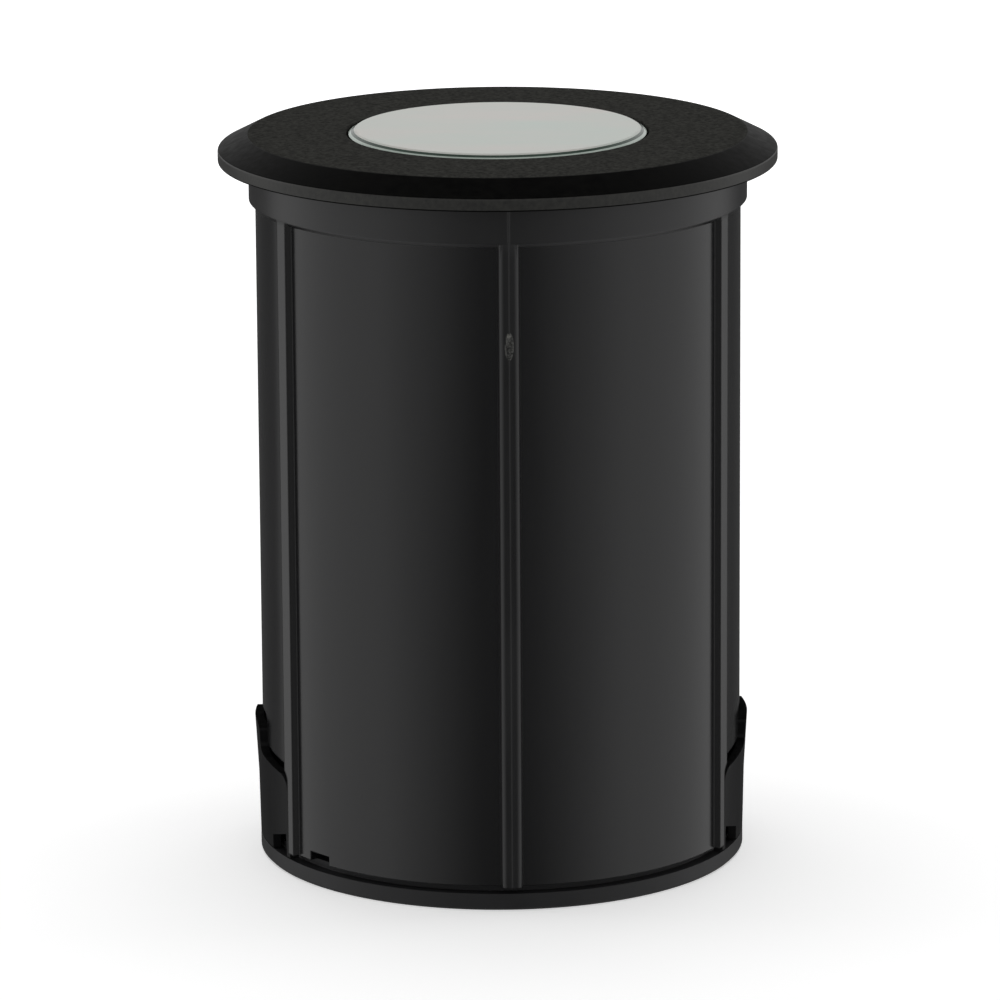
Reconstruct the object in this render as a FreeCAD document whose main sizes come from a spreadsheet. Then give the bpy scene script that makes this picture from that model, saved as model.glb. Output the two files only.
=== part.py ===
"""A recessed deck light in its mounting sleeve.

The origin is at the centre of the base ring's underside, +Z is up through the lens and -Y is the
front, where the sleeve's plain rib stands. The base cap's two spring arms are at +X and -X.
"""
import FreeCAD, Part
import math
import os
import re

import Sketcher

FULL_TURN = 360

SIZES = {
    # Mounting sleeve: a moulded tube with a collar, six ribs and two pockets for the spring arms
    "sleeve_radius": 30.4,
    "sleeve_wall": 2.2,
    "sleeve_length": 85.25,
    "collar_step": 0.8,
    "collar_height": 4.7,
    "collar_edge": 0.5,
    "rib_proud": 0.75,
    "rib_foot": 2.5,
    "rib_crest": 2,
    "side_rib_angle": 61.5,
    "parting_width": 0.28,
    "parting_proud": 0.09,
    "gate_drop": 17.5,
    "gate_radius": 0.8,
    "gate_proud": 0.12,
    "pocket_depth": 1.1,
    "pocket_margin": 0.3,
    "key_angle": 51,
    "key_width": 3.6,
    "key_height": 1.2,
    # Base cap: the ring under the sleeve, its seat, its spigot and its openings
    "cap_step": 0.4,
    "cap_thick": 2.15,
    "cap_edge": 0.35,
    "seam_gap": 0.9,
    "spigot_height": 8,
    "spigot_wall": 2,
    "spigot_clearance": 0.05,
    "entry_radius": 10.5,
    "drain_radius": 1.8,
    # Spring arms: a curved panel with two windows at its root and a flared tongue above
    "arm_thick": 1,
    "arm_height": 16.2,
    "arm_gap": 0.15,
    "arm_panel_out": 0.16,
    "arm_tongue_out": 0.4,
    "tongue_tip_thick": 0.8,
    "panel_half": 14.3,
    "window_margin": 0.8,
    "shoulder_round": 1.8,
    "root_round": 1.5,
    "tip_round": 1,
    # Trim flange and the gasket in the seat under it
    "flange_overhang": 4.6,
    "flange_thick": 3.5,
    "flange_chamfer": 3.74,
    "flange_drop": 1.9,
    "flange_foot": 0.3,
    "lip_thick": 2,
    "gasket_thick": 0.7,
    "gasket_inset": 0.6,
    "gasket_margin": 0.4,
    "gasket_seat": 0.2,
    "seat_clearance": 0.25,
    # Glass lens, its seal and the diffuser under it
    "lens_bevel": 0.95,
    "lens_bevel_drop": 0.6,
    "lens_proud": 0.4,
    "lens_shoulder": 2.55,
    "lens_shoulder_thick": 2.5,
    "lens_clearance": 0.25,
    "seal_thick": 1,
    "seal_width": 2.6,
    "diffuser_thick": 1.2,
    "diffuser_clearance": 0.55,
    # Lamp body: a cast cup with fins, two rubber grip rings and three screw flutes
    "rim_clearance": 0.8,
    "rim_thick": 4,
    "rim_wall": 5.95,
    "rim_overhang": 1.4,
    "floor_thick": 4,
    "floor_drop": 22.8,
    "bore_step": 1.4,
    "fin_count": 6,
    "fin_depth": 3.4,
    "fin_foot_margin": 9,
    "fin_top_margin": 5.5,
    "grip_section": 1.85,
    "grip_clearance": 0.3,
    "grip_drop": 4.9,
    "grip_rise": 7,
    "flute_clearance": 0.5,
    "screw_count": 3,
    # M3 screws
    "shank_radius": 1.5,
    "head_radius": 2.6,
    "head_height": 2,
    "socket_radius": 1,
    "socket_depth": 1.1,
    "screw_clearance": 0.15,
    "flange_screw_grip": 2.3,
    "rear_screw_grip": 8,
    "rear_screw_edge": 4.4,
    "board_screw_grip": 3,
    "board_screw_gap": 1.4,
    # Light engine
    "pad_thick": 0.5,
    "led_board_margin": 2.9,
    "board_thick": 1.6,
    "chip_height": 0.7,
    "chip_count": 6,
    "reflector_wall": 0.8,
    # Driver board, its bosses and the two pins that come down to it
    "driver_margin": 0.7,
    "boss_wall": 0.9,
    "boss_height": 6,
    "boss_inset": 4,
    "pin_radius": 0.4,
    "pin_spread": 1.3,
    "pin_gap": 3,
    "pin_tail": 1,
    "bush_radius": 3,
    # Rear cap and cable gland
    "rear_thick": 4,
    "rear_spigot": 2,
    "rear_fit": 0.1,
    "rear_seal_width": 1.4,
    "rear_seal_thick": 0.6,
    "gland_bore": 3.5,
    "gland_ring": 1.1,
    "gland_wall": 0.8,
    "gland_thread_step": 0.6,
    "gland_hex_step": 2.5,
    "gland_hex_height": 4,
    "gland_neck_height": 7,
    "gland_seal_length": 5,
    "nut_wall": 2.6,
    "nut_cap": 1.6,
    "nut_dome": 2.2,
    "nut_fit": 0.05,
    # One overrun serves every cut
    "overrun": 1,
}

# Lengths that keep in proportion to a larger one, each as its share of that length
SHARES = {
    "cable_room_share": 0.3161,
    "knee_height_share": 0.525,
    "shoulder_height_share": 0.707,
    "shoulder_rise_share": 0.062,
    "window_height_share": 0.2,
    "window_slope_share": 0.08,
    "tongue_half_share": 0.364,
    "window_start_share": 0.657,
    "fin_gap_share": 0.5,
    "chip_side_share": 0.1625,
    "chip_circle_share": 0.2875,
    "reflector_throat_share": 0.5125,
    "capacitor_radius_share": 0.298,
    "capacitor_edge_share": 0.0357,
    "capacitor_across_share": 0.417,
    "capacitor_along_share": 0.357,
    "coil_radius_share": 0.357,
    "coil_core_share": 0.179,
    "coil_across_share": 0.476,
    "coil_along_share": 0.298,
    "converter_length_share": 0.298,
    "converter_width_share": 0.179,
    "converter_across_share": 0.5655,
    "converter_along_share": 0.042,
    "terminal_length_share": 0.536,
    "terminal_width_share": 0.417,
    "terminal_along_share": 0.333,
    "wire_hole_share": 0.0774,
    "wire_spread_share": 0.137,
    "capacitor_length_share": 0.625,
    "coil_height_share": 0.29,
    "coil_flange_share": 0.045,
    "converter_height_share": 0.0714,
    "terminal_height_share": 0.38,
}

# Which lengths keep in proportion to which
SHARED = {
    "sleeve_length": ["cable_room"],
    "arm_height": ["knee_height", "shoulder_height", "shoulder_rise", "window_height",
        "window_slope"],
    "panel_half": ["tongue_half", "window_start"],
    "fin_pitch": ["fin_gap"],
    "led_board_radius": ["chip_side", "chip_circle", "reflector_throat"],
    "driver_radius": ["capacitor_radius", "capacitor_edge", "capacitor_across",
        "capacitor_along", "coil_radius", "coil_core", "coil_across", "coil_along",
        "converter_length", "converter_width", "converter_across", "converter_along",
        "terminal_length", "terminal_width", "terminal_along", "wire_hole", "wire_spread"],
    "driver_room": ["capacitor_length", "coil_height", "coil_flange", "converter_height",
        "terminal_height"],
}

LEVELS = {
    # Heights above the base ring's underside, and radii that one piece takes from another
    "seam_top": "cap_thick + seam_gap",
    "collar_top": "seam_top + sleeve_length",
    "collar_bottom": "collar_top - collar_height",
    "collar_radius": "sleeve_radius + collar_step",
    "sleeve_bore": "sleeve_radius - sleeve_wall",
    "pocket_floor": "sleeve_radius - pocket_depth",
    "rib_radius": "sleeve_radius + rib_proud",
    "key_sweep": "2 * asin(key_width / sleeve_radius / 2) / 1 deg",
    "cap_radius": "sleeve_radius + cap_step",
    "spigot_radius": "sleeve_bore - spigot_clearance",
    "spigot_inner": "spigot_radius - spigot_wall",
    "drain_circle": "(entry_radius + spigot_inner) / 2",
    "arm_root": "cap_thick + arm_gap",
    "arm_top": "cap_thick + arm_height",
    "arm_knee": "cap_thick + knee_height",
    "arm_shoulder": "cap_thick + shoulder_height",
    "arm_inner": "cap_radius - arm_thick",
    "arm_sweep": "2 * asin((panel_half + overrun) / arm_inner) / 1 deg",
    "window_edge": "panel_half - window_margin",
    "flange_radius": "sleeve_radius + flange_overhang",
    "seat_top": "collar_top + gasket_thick",
    "seat_radius": "collar_radius + seat_clearance",
    "flange_bottom": "seat_top - gasket_seat",
    "flange_top": "flange_bottom + flange_thick",
    "lip_bottom": "flange_top - lip_thick",
    "rim_radius": "sleeve_bore - rim_clearance",
    "rim_bottom": "seat_top - rim_thick",
    "body_radius": "rim_radius - rim_overhang",
    "lens_recess": "rim_radius - rim_wall",
    "lens_outer": "lens_recess - lens_clearance",
    "lens_radius": "lens_outer - lens_shoulder",
    "lens_opening": "lens_radius + lens_clearance",
    "lens_bottom": "lip_bottom - lens_shoulder_thick",
    "seal_bottom": "lens_bottom - seal_thick",
    "seal_inner": "lens_outer - seal_width",
    "diffuser_bottom": "lens_bottom - diffuser_thick",
    "diffuser_radius": "seal_inner - lens_clearance",
    "lamp_bore": "diffuser_radius + diffuser_clearance",
    "driver_bore": "lamp_bore - bore_step",
    "floor_top": "flange_bottom - floor_drop",
    "floor_bottom": "floor_top - floor_thick",
    "body_bottom": "seam_top + cable_room",
    "grip_outer": "sleeve_bore - grip_clearance",
    "grip_centre": "grip_outer - grip_section",
    "grip_floor": "grip_outer - 2 * grip_section",
    "grip_high": "rim_bottom - grip_drop",
    "grip_low": "body_bottom + grip_rise",
    "fin_start": "grip_low + fin_foot_margin",
    "fin_pitch": "(grip_high - fin_top_margin - fin_start) / (fin_count - 1 + fin_gap_share)",
    "hole_radius": "shank_radius + screw_clearance",
    "flute_radius": "head_radius + flute_clearance",
    "flange_screw_circle": "rim_radius - rim_wall / 2",
    "rear_screw_circle": "body_radius - rear_screw_edge",
    "pad_top": "floor_top + pad_thick",
    "led_top": "pad_top + board_thick",
    "led_board_radius": "lamp_bore - led_board_margin",
    "throat_outer": "reflector_throat + reflector_wall",
    "board_screw_circle": "throat_outer + board_screw_gap + head_radius",
    "pin_circle": "throat_outer + pin_gap",
    "driver_radius": "driver_bore - driver_margin",
    "driver_top": "floor_bottom - boss_height",
    "driver_bottom": "driver_top - board_thick",
    "boss_radius": "shank_radius + boss_wall",
    "boss_circle": "driver_bore - boss_inset",
    "rear_bottom": "body_bottom - rear_thick",
    "rear_top": "body_bottom + rear_spigot",
    "rear_plug": "driver_bore - rear_fit",
    "rear_seal_outer": "rear_plug + rear_seal_width",
    "driver_room": "driver_bottom - rear_top",
    "gland_seal_outer": "gland_bore + gland_ring",
    "gland_neck": "gland_seal_outer + gland_wall",
    "gland_thread": "gland_neck + gland_thread_step",
    "gland_hex": "gland_thread + gland_hex_step",
    "hex_bottom": "rear_bottom - gland_hex_height",
    "neck_bottom": "hex_bottom - gland_neck_height",
    "gland_seal_top": "neck_bottom + gland_seal_length",
    "nut_radius": "gland_neck + nut_wall",
    "nut_bottom": "neck_bottom - nut_cap",
    "nut_bore": "gland_neck + nut_fit",
}

NAME = re.compile(r"[a-z][a-z_]*")

doc = FreeCAD.newDocument("DeckLight")
sheet = doc.addObject("Spreadsheet::Sheet", "Sizes")
known = set()
bodies = []


def fill_sheet():
    """Driving sizes are plain numbers, and the lengths worked out from them are the sheet's own
    formulas."""
    cells = [(alias, str(size)) for alias, size in SIZES.items()]
    cells += [(alias, "=" + rule) for alias, rule in LEVELS.items()]
    cells += [(alias, str(share)) for alias, share in SHARES.items()]
    for whole, lengths in SHARED.items():
        cells += [(alias, f"={whole} * {alias}_share") for alias in lengths]
    for row, (alias, content) in enumerate(cells, start=1):
        sheet.set(f"A{row}", alias)
        sheet.setAlias(f"B{row}", alias)
        known.add(alias)
    for row, (alias, content) in enumerate(cells, start=1):
        sheet.set(f"B{row}", content)
    doc.recompute()


def cell(rule):
    """The rule with each size's name pointed at its cell in the sheet."""
    return NAME.sub(lambda found: "Sizes." + found[0] if found[0] in known else found[0], rule)


def value(rule):
    return float(sheet.evalExpression(cell(rule)))


def bind(thing, prop, rule):
    thing.setExpression(prop, cell(rule))


def new_body(label):
    body = doc.addObject("PartDesign::Body", label)
    body.Label = label
    bodies.append(body)
    return body


def origin_feature(body, role):
    return next(item for item in body.Origin.OriginFeatures if item.Role == role)


def new_sketch(body, plane="XZ_Plane", aim="0", reach="0", lift="0"):
    """A sketch on an origin plane. An upright one turns by aim about Z and moves out by reach, and
    a level one turns by aim and stands at lift."""
    sketch = body.newObject("Sketcher::SketchObject", body.Label + "_sketch")
    sketch.AttachmentSupport = [(origin_feature(body, plane), "")]
    sketch.MapMode = "FlatFace"
    upright = plane == "XZ_Plane"
    axis = FreeCAD.Vector(0, 1, 0) if upright else FreeCAD.Vector(0, 0, 1)
    sketch.AttachmentOffset = FreeCAD.Placement(FreeCAD.Vector(), FreeCAD.Rotation(axis, 1))
    bind(sketch, "AttachmentOffset.Rotation.Angle", aim)
    if upright:
        bind(sketch, "AttachmentOffset.Base.x", f"({reach}) * cos({aim})")
        bind(sketch, "AttachmentOffset.Base.z", f"0 - ({reach}) * sin({aim})")
    else:
        bind(sketch, "AttachmentOffset.Base.z", lift)
    return sketch


def place_point(sketch, geometry, point, across, up):
    """Ties a point of the sketch to its two rules, or to an axis where a rule is zero."""
    for rule, kind, axis in ((across, "DistanceX", -2), (up, "DistanceY", -1)):
        if rule == "0":
            sketch.addConstraint(Sketcher.Constraint("PointOnObject", geometry, point, axis))
            continue
        number = sketch.addConstraint(
            Sketcher.Constraint(kind, -1, 1, geometry, point, value(rule)))
        bind(sketch, f"Constraints[{number}]", rule)


def polygon(sketch, corners):
    """A closed outline of straight lines through corners given as rules. A corner with a third rule
    is rounded to that radius."""
    points = [FreeCAD.Vector(value(corner[0]), value(corner[1]), 0) for corner in corners]
    count = len(points)
    leave, arrive, bends = list(points), list(points), {}
    for index, corner in enumerate(corners):
        if len(corner) == 3:
            bend = bend_points(points[index - 1], points[index], points[(index + 1) % count],
                               value(corner[2]))
            arrive[index], bends[index], leave[index] = bend
    first = sketch.GeometryCount
    for index in range(count):
        after = (index + 1) % count
        sketch.addGeometry(Part.LineSegment(leave[index], arrive[after]))
    for index, corner in enumerate(corners):
        line, before = first + index, first + (index - 1) % count
        if index not in bends:
            sketch.addConstraint(Sketcher.Constraint("Coincident", before, 2, line, 1))
            place_point(sketch, line, 1, *corner)
            continue
        arc = sketch.addGeometry(Part.Arc(arrive[index], bends[index], leave[index]))
        start = sketch.getPoint(arc, 1)
        forward = start.distanceToPoint(arrive[index]) < start.distanceToPoint(leave[index])
        near, far = (1, 2) if forward else (2, 1)
        sketch.addConstraint(Sketcher.Constraint("Tangent", before, 2, arc, near))
        sketch.addConstraint(Sketcher.Constraint("Tangent", arc, far, line, 1))
        number = sketch.addConstraint(Sketcher.Constraint("Radius", arc, value(corner[2])))
        bind(sketch, f"Constraints[{number}]", corner[2])
        point = sketch.addGeometry(Part.Point(points[index]), True)
        sketch.addConstraint(Sketcher.Constraint("PointOnObject", point, 1, before))
        sketch.addConstraint(Sketcher.Constraint("PointOnObject", point, 1, line))
        place_point(sketch, point, 1, corner[0], corner[1])
    return sketch


def bend_points(before, corner, after, radius):
    """Where a rounding of this radius starts, its middle, and where it ends."""
    back, on = (before - corner).normalize(), (after - corner).normalize()
    half = back.getAngle(on) / 2
    centre = corner + (back + on).normalize() * (radius / math.sin(half))
    middle = centre + (corner - centre).normalize() * radius
    reach = radius / math.tan(half)
    return corner + back * reach, middle, corner + on * reach


def circle(sketch, radius, across="0", up="0"):
    centre = FreeCAD.Vector(value(across), value(up), 0)
    index = sketch.addGeometry(Part.Circle(centre, FreeCAD.Vector(0, 0, 1), value(radius)))
    place_point(sketch, index, 3, across, up)
    number = sketch.addConstraint(Sketcher.Constraint("Radius", index, value(radius)))
    bind(sketch, f"Constraints[{number}]", radius)
    return sketch


def must_cut(feature):
    doc.recompute()
    if not feature.Shape.Volume < feature.BaseFeature.Shape.Volume:
        raise RuntimeError(feature.Label + " cuts nothing")
    return feature


def turned(body, sketch, kind="Revolution", sweep=None):
    """Turns the sketch about its own upright axis, all the way or by sweep about its plane."""
    feature = body.newObject("PartDesign::" + kind, body.Label + "_turn")
    feature.Profile = (sketch, [""])
    feature.ReferenceAxis = (sketch, ["V_Axis"])
    feature.Angle = FULL_TURN
    if sweep:
        feature.Midplane = True
        bind(feature, "Angle", sweep)
    return must_cut(feature) if kind == "Groove" else feature


def raised(body, sketch, height):
    feature = body.newObject("PartDesign::Pad", body.Label + "_pad")
    feature.Profile = (sketch, [""])
    bind(feature, "Length", height)
    return feature


def sunk(body, sketch, depth):
    """A pocket that goes down from a level sketch."""
    feature = body.newObject("PartDesign::Pocket", body.Label + "_pocket")
    feature.Profile = (sketch, [""])
    bind(feature, "Length", depth)
    return must_cut(feature)


def around(body, feature, count):
    """Repeats the feature about Z."""
    pattern = body.newObject("PartDesign::PolarPattern", body.Label + "_ring")
    pattern.Originals = [feature]
    pattern.Axis = (origin_feature(body, "Z_Axis"), [""])
    pattern.Angle = FULL_TURN
    if isinstance(count, int):
        pattern.Occurrences = count
    else:
        bind(pattern, "Occurrences", count)
    body.Tip = pattern
    return pattern


def rings(body, corners):
    """The commonest piece here: an outline turned all the way about Z."""
    turned(body, polygon(new_sketch(body), corners))


def box_corners(left, right, low, high):
    return [(left, low), (right, low), (right, high), (left, high)]


def mounting_sleeve():
    body = new_body("mounting_sleeve")
    rings(body, [
        ("sleeve_bore", "seam_top"), ("sleeve_radius", "seam_top"),
        ("sleeve_radius", "collar_bottom"), ("collar_radius - collar_edge", "collar_bottom"),
        ("collar_radius", "collar_bottom + collar_edge"), ("collar_radius", "collar_top"),
        ("sleeve_bore", "collar_top"),
    ])
    for aim in ("0", "side_rib_angle", "180 - side_rib_angle", "180", "side_rib_angle - 180",
                "0 - side_rib_angle"):
        rib = new_sketch(body, "XY_Plane", aim=aim, lift="seam_top")
        polygon(rib, [
            ("0 - rib_foot / 2", "pocket_depth - sleeve_radius"),
            ("rib_foot / 2", "pocket_depth - sleeve_radius"),
            ("rib_foot / 2", "0 - sqrt(sleeve_radius ^ 2 - rib_foot ^ 2 / 4)"),
            ("rib_crest / 2", "0 - rib_radius"),
            ("0 - rib_crest / 2", "0 - rib_radius"),
            ("0 - rib_foot / 2", "0 - sqrt(sleeve_radius ^ 2 - rib_foot ^ 2 / 4)"),
        ])
        raised(body, rib, "collar_bottom + collar_edge - seam_top")
    for crest, low, height in (("rib_radius", "seam_top",
                                "collar_bottom + collar_edge - seam_top"),
                               ("collar_radius", "collar_bottom + collar_edge",
                                "collar_height - collar_edge")):
        line = new_sketch(body, "XY_Plane", lift=low)
        polygon(line, [
            ("0 - parting_width / 2", f"pocket_depth - {crest}"),
            ("parting_width / 2", f"pocket_depth - {crest}"),
            ("parting_width / 2", f"parting_width ^ 2 / (8 * {crest}) - {crest}"),
            ("0", f"0 - {crest} - parting_proud"),
            ("0 - parting_width / 2", f"parting_width ^ 2 / (8 * {crest}) - {crest}"),
        ])
        raised(body, line, height)
    gate = new_sketch(body)
    bind(gate, "AttachmentOffset.Base.z", "pocket_floor")
    circle(gate, "gate_radius", up="collar_top - gate_drop")
    raised(body, gate, "rib_radius + gate_proud - pocket_floor")
    pockets = [arm_pocket("right_arm_pocket", 0), arm_pocket("left_arm_pocket", FULL_TURN / 2)]
    hollow = body.newObject("PartDesign::Boolean", "arm_pockets")
    hollow.Type = "Cut"
    hollow.addObjects(pockets)
    must_cut(hollow)
    key = new_sketch(body, aim="180 + 90 - key_angle")
    polygon(key, box_corners("sleeve_bore - overrun", "rib_radius", "seam_top - overrun",
                             "seam_top + key_height"))
    around(body, turned(body, key, "Groove", sweep="key_sweep"), 2)


def base_cap():
    body = new_body("base_cap")
    rings(body, [
        ("entry_radius", "0"), ("cap_radius - cap_edge", "0"), ("cap_radius", "cap_edge"),
        ("cap_radius", "cap_thick"), ("pocket_floor", "cap_thick"),
        ("pocket_floor", "seam_top"), ("spigot_radius", "seam_top"),
        ("spigot_radius", "seam_top + spigot_height"),
        ("spigot_inner", "seam_top + spigot_height"),
        ("spigot_inner", "cap_thick"), ("entry_radius", "cap_thick"),
    ])
    drain = new_sketch(body, "XY_Plane", aim="45", lift="cap_thick")
    circle(drain, "drain_radius", across="drain_circle")
    around(body, sunk(body, drain, "cap_thick + overrun"), 4)


def arm_plate(label, turn, strip, margin="0"):
    """A curved plate in the spring arm's front view, built at +X and turned to its own side. The
    strip is its section, and margin widens the view all round."""
    body = doc.addObject("PartDesign::Body", label)
    body.Label = label
    turned(body, polygon(new_sketch(body), strip), sweep="arm_sweep")
    panel, tongue = f"(panel_half + {margin})", f"(tongue_half + {margin})"
    shoulder, top = f"arm_shoulder + {margin}", f"arm_top + {margin}"
    waist = shoulder + " + shoulder_rise"
    foot = "cap_thick - overrun"
    front = new_sketch(body, "YZ_Plane")
    polygon(front, box_corners("0 - sleeve_radius", "sleeve_radius", foot + " - overrun",
                               "arm_top + 2 * overrun"))
    polygon(front, [
        ("0 - " + panel, foot), (panel, foot), (panel, shoulder, "shoulder_round"),
        (tongue, waist, "root_round"), (tongue, top, "tip_round"),
        ("0 - " + tongue, top, "tip_round"), ("0 - " + tongue, waist, "root_round"),
        ("0 - " + panel, shoulder, "shoulder_round"),
    ])
    cut_outward(body, front)
    body.Placement = FreeCAD.Placement(
        FreeCAD.Vector(), FreeCAD.Rotation(FreeCAD.Vector(0, 0, 1), turn))
    return body


def arm_pocket(label, turn):
    """The hollow that one spring arm takes in the sleeve's outer face."""
    return arm_plate(label, turn, box_corners("pocket_floor", "collar_radius + overrun",
                                              "cap_thick", "arm_top + overrun"),
                     margin="pocket_margin")


def clip_arm(label, turn):
    knee = "cap_radius + arm_panel_out"
    tip = knee + " + arm_tongue_out"
    body = arm_plate(label, turn, [
        ("arm_inner", "arm_root"), ("cap_radius", "arm_root"), (knee, "arm_knee"),
        (tip, "arm_top"), (tip + " - tongue_tip_thick", "arm_top"),
        (knee + " - arm_thick", "arm_knee"),
    ])
    bodies.append(body)
    windows = new_sketch(body, "YZ_Plane")
    for side in ("", "0 - "):
        polygon(windows, [
            (side + "window_start", "arm_root - overrun"),
            (side + "window_edge", "arm_root - overrun"),
            (side + "window_edge", "cap_thick + window_height"),
            (side + "window_start", "cap_thick + window_height - window_slope"),
        ])
    cut_outward(body, windows)


def cut_outward(body, sketch):
    """Cuts an upright sketch on the YZ plane through everything at +X."""
    feature = body.newObject("PartDesign::Pocket", body.Label + "_cut")
    feature.Profile = (sketch, [""])
    feature.Reversed = True
    bind(feature, "Length", "flange_radius + overrun")
    return must_cut(feature)


def trim_flange():
    body = new_body("trim_flange")
    rings(body, [
        ("lens_opening", "lip_bottom"), ("lens_recess", "lip_bottom"),
        ("lens_recess", "seat_top"), ("seat_radius", "seat_top"),
        ("seat_radius", "flange_bottom"), ("flange_radius - flange_foot", "flange_bottom"),
        ("flange_radius", "flange_bottom + flange_foot"),
        ("flange_radius", "flange_top - flange_drop"),
        ("flange_radius - flange_chamfer", "flange_top"),
        ("lens_opening", "flange_top"),
    ])
    hole = new_sketch(body, aim="90", reach="flange_screw_circle")
    polygon(hole, box_corners("0", "shank_radius", "seat_top - overrun",
                              "seat_top + flange_screw_grip"))
    around(body, turned(body, hole, "Groove"), "screw_count")


def flange_gasket():
    rings(new_body("flange_gasket"), box_corners(
        "sleeve_bore + gasket_margin", "collar_radius - gasket_inset",
        "collar_top", "seat_top"))


def glass_lens():
    rings(new_body("glass_lens"), [
        ("0", "lens_bottom"), ("lens_outer", "lens_bottom"), ("lens_outer", "lip_bottom"),
        ("lens_radius", "lip_bottom"), ("lens_radius", "flange_top + lens_proud - lens_bevel_drop"),
        ("lens_radius - lens_bevel", "flange_top + lens_proud"), ("0", "flange_top + lens_proud"),
    ])


def lens_seal():
    rings(new_body("lens_seal"), box_corners(
        "seal_inner", "lens_outer", "seal_bottom", "lens_bottom"))


def diffuser():
    rings(new_body("diffuser"), box_corners(
        "0", "diffuser_radius", "diffuser_bottom", "lens_bottom"))


def lamp_body():
    body = new_body("lamp_body")
    rings(body, [
        ("driver_bore", "body_bottom"), ("body_radius", "body_bottom"),
        ("body_radius", "rim_bottom"), ("rim_radius", "rim_bottom"),
        ("rim_radius", "seat_top"), ("lens_recess", "seat_top"),
        ("lens_recess", "seal_bottom"), ("lamp_bore", "seal_bottom"),
        ("lamp_bore", "floor_top"), ("0", "floor_top"), ("0", "floor_bottom"),
        ("driver_bore", "floor_bottom"),
    ])
    gap = new_sketch(body)
    polygon(gap, box_corners("body_radius - fin_depth", "body_radius + overrun",
                             "fin_start", "fin_start + fin_gap"))
    groove = turned(body, gap, "Groove")
    fins = body.newObject("PartDesign::LinearPattern", "lamp_body_fins")
    fins.Originals = [groove]
    fins.Direction = (origin_feature(body, "Z_Axis"), [""])
    bind(fins, "Length", "fin_pitch * (fin_count - 1)")
    bind(fins, "Occurrences", "fin_count")
    body.Tip = fins
    for height in ("grip_high", "grip_low"):
        seat = new_sketch(body)
        polygon(seat, box_corners("grip_floor", "body_radius + overrun",
                                  f"{height} - grip_section", f"{height} + grip_section"))
        turned(body, seat, "Groove")
    flute = new_sketch(body, "XY_Plane", aim="90", lift="rim_bottom")
    circle(flute, "flute_radius", across="flange_screw_circle")
    around(body, sunk(body, flute, "rim_bottom - body_bottom + overrun"), "screw_count")
    through = new_sketch(body, aim="90", reach="flange_screw_circle")
    polygon(through, box_corners("0", "hole_radius", "rim_bottom - overrun",
                                 "seat_top + overrun"))
    around(body, turned(body, through, "Groove"), "screw_count")
    blind = new_sketch(body, aim="30", reach="rear_screw_circle")
    polygon(blind, box_corners("0", "shank_radius", "body_bottom - overrun",
                               "body_bottom + rear_screw_grip"))
    around(body, turned(body, blind, "Groove"), "screw_count")
    board = new_sketch(body, reach="board_screw_circle")
    polygon(board, box_corners("0", "shank_radius", "floor_top - board_screw_grip",
                               "floor_top + overrun"))
    around(body, turned(body, board, "Groove"), 2)
    window = new_sketch(body, "XY_Plane", lift="floor_top")
    circle(window, "bush_radius", up="pin_circle")
    sunk(body, window, "floor_thick + overrun")
    boss = new_sketch(body, "XY_Plane", aim="30", lift="driver_top")
    circle(boss, "boss_radius", across="boss_circle")
    around(body, raised(body, boss, "boss_height + overrun"), "screw_count")
    tapped = new_sketch(body, aim="30", reach="boss_circle")
    polygon(tapped, box_corners("0", "shank_radius", "driver_top - overrun",
                                "driver_top + board_screw_grip"))
    around(body, turned(body, tapped, "Groove"), "screw_count")


def grip_ring(label, height):
    body = new_body(label)
    section = circle(new_sketch(body), "grip_section", across="grip_centre", up=height)
    turned(body, section)


def screws(label, circle_radius, aim, head, reach, count, up="1"):
    """Socket screws on a circle. The head's seat is at head, and the shank reaches up from it, or
    down where up is -1."""
    body = new_body(label)
    far = f"{head} - ({up}) * head_height"
    mouth = f"{far} + ({up}) * socket_depth"
    end = f"{head} + ({up}) * ({reach})"
    outline = new_sketch(body, aim=aim, reach=circle_radius)
    polygon(outline, [
        ("0", mouth), ("socket_radius", mouth), ("socket_radius", far), ("head_radius", far),
        ("head_radius", head), ("shank_radius", head), ("shank_radius", end), ("0", end),
    ])
    around(body, turned(body, outline), count)


def thermal_pad():
    body = new_body("thermal_pad")
    rings(body, box_corners("0", "led_board_radius", "floor_top", "pad_top"))
    board_holes(body, "pad_top", "pad_thick")


def led_board():
    body = new_body("led_board")
    rings(body, box_corners("0", "led_board_radius", "pad_top", "led_top"))
    board_holes(body, "led_top", "board_thick")


def board_holes(body, top, thick):
    """Two screw holes, and the two pins' holes in a board or the window for their bush in the pad."""
    hole = circle(new_sketch(body, "XY_Plane", lift=top), "hole_radius",
                  across="board_screw_circle")
    around(body, sunk(body, hole, f"{thick} + overrun"), 2)
    pins = new_sketch(body, "XY_Plane", lift=top)
    for side in ("pin_spread", "0 - pin_spread"):
        circle(pins, "pin_radius", across=side, up="pin_circle")
    sunk(body, pins, f"{thick} + overrun")


def led_chips():
    body = new_body("led_chips")
    middle = new_sketch(body, "XY_Plane", lift="led_top")
    half = "chip_side / 2"
    polygon(middle, box_corners("0 - " + half, half, "0 - " + half, half))
    raised(body, middle, "chip_height")
    outer = new_sketch(body, "XY_Plane", lift="led_top")
    polygon(outer, box_corners("chip_circle - " + half, "chip_circle + " + half,
                               "0 - " + half, half))
    around(body, raised(body, outer, "chip_height"), "chip_count")


def reflector():
    rings(new_body("reflector"), [
        ("reflector_throat", "led_top"), ("throat_outer", "led_top"),
        ("diffuser_radius", "diffuser_bottom - reflector_wall"),
        ("diffuser_radius", "diffuser_bottom"),
        ("diffuser_radius - reflector_wall", "diffuser_bottom"),
    ])


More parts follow.
